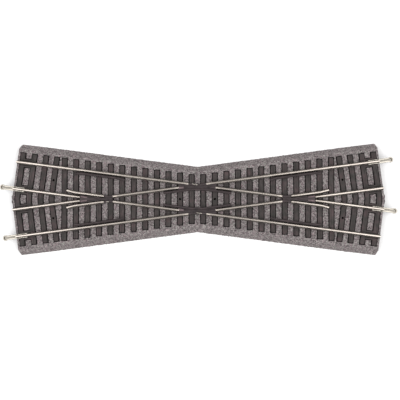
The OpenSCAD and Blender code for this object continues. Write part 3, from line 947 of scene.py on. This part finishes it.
for quarter in QUARTERS:
    rail_piece("outer_rail", OUTER_PATH, quarter)
    rail_piece("end_rail", END_PATH, quarter)
    rail_piece("closure_rail", CLOSURE_PATH, quarter)
    rail_piece("wing_rail", rounded(WING_PATH), quarter)


# ---- Plastic check rails and crossings -------------------------------------------------------

UPRIGHT = on_seat([
    (0.8, 0.0), (0.8, 0.48), (0.7, 0.6), (0.44, 0.66), (0.4, 0.8), (0.4, 2.36), (0.36, 2.45),
    (0.26, 2.5),
])
CHECK_FLARE, CHECK_TURN_IN = 3.5, 0.8
FROG_POINT = 64.2
THROAT_HALF = 2.3
RIBS = (57.6, 63.4)


def upright(shape, path, quarter):
    """A plastic check rail: a foot and an upright with a rounded top, lower at its two ends."""
    points = rounded(path, 0.9)
    full = np.array(UPRIGHT)
    low = full.copy()
    low[:, 1] = np.minimum(low[:, 1], RAIL_TOP - 0.14)
    low[:, 0] *= 0.9
    step = (points[1] - points[0]) / np.linalg.norm(points[1] - points[0]) * 0.15
    back = (points[-2] - points[-1]) / np.linalg.norm(points[-2] - points[-1]) * 0.15
    points = np.vstack([points[:1], points[0] + step, points[1:-1], points[-1] + back, points[-1:]])
    shape.sweep([low] + [full] * (len(points) - 2) + [low], points, quarter)


def moulding(shape, node):
    shape.make(f"{node}_moulded", CROSSING, "crossing_plastic", replaced=[node])


def check_rail(quarter):
    shape = Shape()
    turn = QUARTERS[quarter]
    start, end = CHECK_SPAN
    upright(shape, [
        on_b(start, CHECK_OFFSET - CHECK_TURN_IN), on_b(start + CHECK_FLARE, CHECK_OFFSET),
        on_b(end - CHECK_FLARE, CHECK_OFFSET), on_b(end, CHECK_OFFSET - CHECK_TURN_IN),
    ], turn)
    # Gussets that stiffen the upright at each sleeper, on the side away from the rail
    for k in STRAIGHT:
        if start + 2 < k + 1 < end - 3:
            for shift in (-0.7, 0.7):
                at = b_line(k, CHECK_OFFSET) + shift * TO_B
                gusset = ribbon([at - 0.25 * TO_B, at + 0.25 * TO_B], 0.4)
                shape.block(gusset - (-SIN * 0.55, COS * 0.55), SEAT, SEAT + 1.5, 0.12, turn)
    moulding(shape, f"check_rail_{quarter}")


def acute_frog(end, turn):
    """The plastic floor, point and knuckle where the two inner running lines meet."""
    shape = Shape()
    floor_start, floor_end = CLOSURE[1] + 0.3, END_RAIL_START - 0.3
    knuckle_end = WING_START - 0.3
    inner_wing = WING_OFFSET - FOOT_HALF - 0.05
    point_edge = HEAD_HALF - RAIL_OFFSET
    half_floor = [
        (floor_start, THROAT_HALF), (knuckle_end, THROAT_HALF),
        b_line(knuckle_end, inner_wing), b_line(floor_end, inner_wing),
    ]
    floor = np.vstack([half_floor, flip_y(half_floor)[::-1]])
    shape.block(floor, SEAT, GROOVE_FLOOR, 0.12, turn)
    tip, wide = b_line(FROG_POINT, point_edge), b_line(floor_end + 0.1, point_edge)
    tops = [PLASTIC_TOP - 0.2, PLASTIC_TOP, PLASTIC_TOP, PLASTIC_TOP - 0.2]
    shape.block([tip, wide, *flip_y([wide, tip])], SEAT, PLASTIC_TOP, 0.1, turn, tops)
    knuckle = rounded([
        a_line(CLOSURE[1] + 0.1, RAIL_OFFSET), b_line(KNUCKLE_X, WING_OFFSET),
        b_line(knuckle_end, WING_OFFSET),
    ], 0.8)
    for path in (knuckle, flip_y(knuckle)):
        shape.block(ribbon(path, HEAD_HALF), SEAT, PLASTIC_TOP, 0.1, turn)
        shape.block(ribbon(path, HEAD_HALF + 0.35), SEAT, GROOVE_FLOOR + 0.35, 0.15, turn)
    # Two low ribs in the throat
    for y in (-0.45, 0.45):
        rib = ribbon([(RIBS[0], y * 1.6), (RIBS[1], y)], 0.14)
        shape.block(rib, SEAT, GROOVE_FLOOR + 0.22, 0.08, turn)
    moulding(shape, f"acute_frog_{end}")


def obtuse_crossing(side, turn):
    """The plastic floor, knee and two points where the outer running lines cross, and the check
    rail opposite the knee."""
    shape = Shape()
    knee_y = RAIL_OFFSET / COS
    floor_end, knee_end, point_end = CLOSURE[0] + 0.5, OUTER_START - 0.05, CLOSURE[0] - 0.05
    groove_edge = RAIL_OFFSET - HEAD_HALF - FLANGEWAY
    tip = (RAIL_OFFSET - HEAD_HALF - groove_edge) / (2 * SIN)
    full = (RAIL_OFFSET + HEAD_HALF - groove_edge) / (2 * SIN)
    check_x, check_y = zip(*KNEE_CHECK[::-1])
    half_floor = [
        KNEE_CHECK[1], (floor_end, np.interp(floor_end, check_x, check_y)),
        b_line(floor_end, RAIL_OFFSET), b_line(knee_end, RAIL_OFFSET + HEAD_HALF + 0.1),
    ]
    outline = np.vstack([half_floor, [(0, knee_y + HEAD_HALF + 0.1)], flip_x(half_floor)[::-1]])
    shape.block(outline, SEAT, GROOVE_FLOOR, 0.1, turn)
    knee = [a_line(-knee_end, RAIL_OFFSET), (0, knee_y), b_line(knee_end, RAIL_OFFSET)]
    knee = ribbon(rounded(knee, 0.7), HEAD_HALF)
    shape.block(knee, GROOVE_FLOOR - 0.2, PLASTIC_TOP, 0.1, turn)
    point = np.array([
        a_line(tip, RAIL_OFFSET - HEAD_HALF), b_line(full, groove_edge),
        a_line(point_end, RAIL_OFFSET + HEAD_HALF), a_line(point_end, RAIL_OFFSET - HEAD_HALF),
    ])
    for corners in (point, flip_x(point)):
        shape.block(corners, GROOVE_FLOOR - 0.2, PLASTIC_TOP, 0.08, turn)
    upright(shape, np.vstack([flip_x(KNEE_CHECK), KNEE_CHECK[::-1]]), turn)
    moulding(shape, f"obtuse_crossing_{side}")


for quarter in QUARTERS:
    check_rail(quarter)
acute_frog("east", (1, 1))
acute_frog("west", (-1, 1))
obtuse_crossing("north", (1, 1))
obtuse_crossing("south", (1, -1))

# Lighter strips between the plastic points and the rails' tips: painted glints where the plastic
# there catches the light, at every frog point and at the west knees only
STRIP_TOP = RAIL_TOP - 0.01
FROG_GLINT = (71.2, END_RAIL_START - 0.5)
KNEE_GLINT = (8.8, CLOSURE[0] + 0.6)
painted_glints = Shape()
for quarter, turn in QUARTERS.items():
    strip = ribbon([b_line(x, HEAD_HALF - RAIL_OFFSET - 0.1) for x in FROG_GLINT], 0.36)
    painted_glints.block(strip, GROOVE_FLOOR, STRIP_TOP, 0.08, turn)
    if "w" in quarter:
        strip = ribbon([a_line(x, RAIL_OFFSET - 0.35) for x in KNEE_GLINT], 0.62)
        painted_glints.block(strip, GROOVE_FLOOR - 0.3, STRIP_TOP, 0.08, turn)
painted_glints.make("rail_tip_painted_glints", PAINTED_GLINT, "crossing_plastic")

# Slivers of bare metal showing in the tops of the knees, and in the west frog's knuckle
SLIVER_HALF = 0.15
SLIVERS = [
    [(-3.3, 9.65), (0.0, 9.05)],
    [(-0.5, -9.0), (2.8, -9.4)],
    [(-58.6, -1.9), (-57.0, -1.75)],
]
slivers = Shape()
for path in SLIVERS:
    slivers.block(ribbon(path, SLIVER_HALF), GROOVE_FLOOR, STRIP_TOP, 0.05)
slivers.make("knee_slivers", SHEET, "rail_metal")


# ---- Rail joiners ----------------------------------------------------------------------------

GRIP, REACH, NOSE = 7.5, 8.69, 1.84
OUTSIDE, SHEET_T = 1.45, 0.3
NOSE_X = REACH - NOSE
SWELL_RUN = 1.6
SWELL_X = NOSE_X - SWELL_RUN
LIP_TOP, FLOOR_LOW, FLOOR_TOP = 0.8, -0.35, -0.05
FLOOR_SHARE = 0.66
PRESSED_X, PRESSED_DEPTH, PRESSED_HALF = (-GRIP + 1.3, -2.0), 0.12, 0.35
DOMES = [(x, y) for y in (-1.17, 1.17) for x in (-GRIP + 3.1, -1.0)]
DOME = [(0.22, 0.72), (0.2, 0.83), (0.14, 0.88), (0.05, 0.9)]


def joiner_outline():
    """The outer edge of a joiner, out along its right side, round the nose and back."""
    outline = [(-GRIP, -OUTSIDE), (-GRIP + 0.25, -OUTSIDE)]
    outline += [(x, -OUTSIDE) for x in np.arange(-GRIP + 0.6, SWELL_X, 0.35)]
    for t in np.linspace(0, 1, 6)[1:-1]:
        y = -OUTSIDE - (NOSE - OUTSIDE) * (3 * t * t - 2 * t**3)
        outline.append((SWELL_X + SWELL_RUN * t, y))
    for turn in np.radians(np.linspace(-90, 0, 11)):
        outline.append((NOSE_X + NOSE * math.cos(turn), NOSE * math.sin(turn)))
    return np.vstack([outline, flip_y(outline[-2::-1])])


def joiner_section(lip, dent, lift):
    """The joiner's wall with its rolled lip, from the floor's edge up, over and back. lip is how
    far the lip reaches in, and dent and lift are how much lower it is pressed."""
    top = LIP_TOP - dent - lift
    bottom = LIP_TOP - SHEET_T - 0.6 * dent
    return [
        (0.75, FLOOR_LOW), (0.2, FLOOR_LOW), (0.06, FLOOR_LOW + 0.06), (0.0, FLOOR_LOW + 0.2),
        (0.0, LIP_TOP - 0.3), (0.05, LIP_TOP - 0.12), (0.17, top - 0.02), (0.3, top),
        (max(0.32, lip - 0.08), top - 0.02), (max(0.36, lip), top - 0.1),
        (max(0.36, lip), bottom), (0.32, bottom), (0.3, bottom - 0.06),
        (0.3, FLOOR_TOP), (0.75, FLOOR_TOP),
    ]


def joiner_shape():
    """A sheet-metal channel for the rail's foot: a floor, and a wall with a rolled lip all round
    but at the open end. The rail's end is at X = 0, and the nose at +X."""
    shape = Shape()
    outline = joiner_outline()
    x = outline[:, 0]
    lips = np.interp(x, [-0.6, 0.4, SWELL_X - 0.6, NOSE_X - 0.2], [0.55, 0.95, 0.95, 0.7])
    dents = sum(PRESSED_DEPTH * np.exp(-((x - at) / PRESSED_HALF) ** 2) for at in PRESSED_X)
    lifts = 0.05 * np.clip((-x - GRIP + 0.5) / 0.5, 0, 1)
    shape.sweep([joiner_section(*values) for values in zip(lips, dents, lifts)], outline)
    floor = outline * (1, FLOOR_SHARE)
    floor[:, 0] = np.minimum(x, NOSE_X) + FLOOR_SHARE * np.clip(x - NOSE_X, 0, None)
    shape.block(floor, FLOOR_LOW, FLOOR_TOP, 0.02)
    # Small punched domes hold the channel on the rail's foot
    for place in DOMES:
        shape.loft(turned(*place, DOME, 12))
    return shape


for end, half_turn in (("east", 0.0), ("west", math.pi)):
    for place, tilt in (("inner", -HALF_ANGLE), ("outer", HALF_ANGLE)):
        shape = joiner_shape()
        angle = half_turn + tilt
        spin = np.array([[math.cos(angle), math.sin(angle)], [-math.sin(angle), math.cos(angle)]])
        for number, points in enumerate(shape.points):
            flat = (points[:, :2] + (HALF_LENGTH, RAIL_OFFSET)) @ spin
            shape.points[number] = np.column_stack([flat, points[:, 2] + SEAT])
        name = f"rail_joiner_{end}_{place}"
        shape.make(f"{name}_pressed", SHEET, "joiner_metal", body=name, replaced=[name])


# ---- Floor, light and camera, in metres ------------------------------------------------------

FLOOR_REACH = 4.0
WORLD_STRENGTH = 0.70
BOX_HEIGHT, BOX_SIZE, BOX_POWER = 1.0, (0.9, 1.1), 7.2
BOX_PLACES = {"east": (0.61, -0.2), "west": (-0.69, -0.2)}
LENS, SENSOR = 82.85, 36.0
EYE, AIM = Vector((0.01588, -0.02808, 0.600)), Vector((0.0015, -0.00035, 0.0))

floor_paint = Paint("floor_paper", Metallic=0.0, Roughness=0.9)
paper = floor_paint.noise(floor_paint.place((0.01, 0.01, 0.01)), 1.0, 2.0)
paper = floor_paint.ramp(paper, (0.3, 0.93), (0.7, 0.95))
floor_paint.put(floor_paint.shader, {"Base Color": paper})
floor_mesh = bpy.data.meshes.new("floor")
corners = [(x * FLOOR_REACH, y * FLOOR_REACH, 0) for x, y in ((-1, -1), (1, -1), (1, 1), (-1, 1))]
floor_mesh.from_pydata(corners, [], [(0, 1, 2, 3)])
floor_mesh.materials.append(floor_paint.material)
floor = bpy.data.objects.new("floor", floor_mesh)
bpy.context.scene.collection.objects.link(floor)

world = bpy.data.worlds.new("studio")
world.use_nodes = True
background = world.node_tree.nodes["Background"].inputs
background["Color"].default_value = (1.0, 1.0, 1.0, 1)
background["Strength"].default_value = WORLD_STRENGTH
bpy.context.scene.world = world

# Two softboxes over the ends, shining straight down
for end, place in BOX_PLACES.items():
    light = bpy.data.lights.new(f"softbox_{end}", "AREA")
    light.shape, light.energy = "RECTANGLE", BOX_POWER
    light.size, light.size_y = BOX_SIZE
    lamp = bpy.data.objects.new(f"softbox_{end}", light)
    lamp.location = (*place, BOX_HEIGHT)
    lamp.rotation_mode = "QUATERNION"
    lamp.rotation_quaternion = Vector((0, 0, -BOX_HEIGHT)).to_track_quat("-Z", "Y")
    bpy.context.scene.collection.objects.link(lamp)

camera = bpy.data.cameras.new("camera")
camera.lens, camera.sensor_width = LENS, SENSOR
camera.clip_start, camera.clip_end = 0.01, 20
eye = bpy.data.objects.new("camera", camera)
bpy.context.scene.collection.objects.link(eye)
forward = (AIM - EYE).normalized()
right = forward.cross(Vector((0, 1, 0))).normalized()
up = right.cross(forward)
eye.matrix_world = Matrix.Translation(EYE) @ Matrix((right, up, -forward)).transposed().to_4x4()
bpy.context.scene.camera = eye
bpy.context.scene.view_settings.view_transform = "Standard"
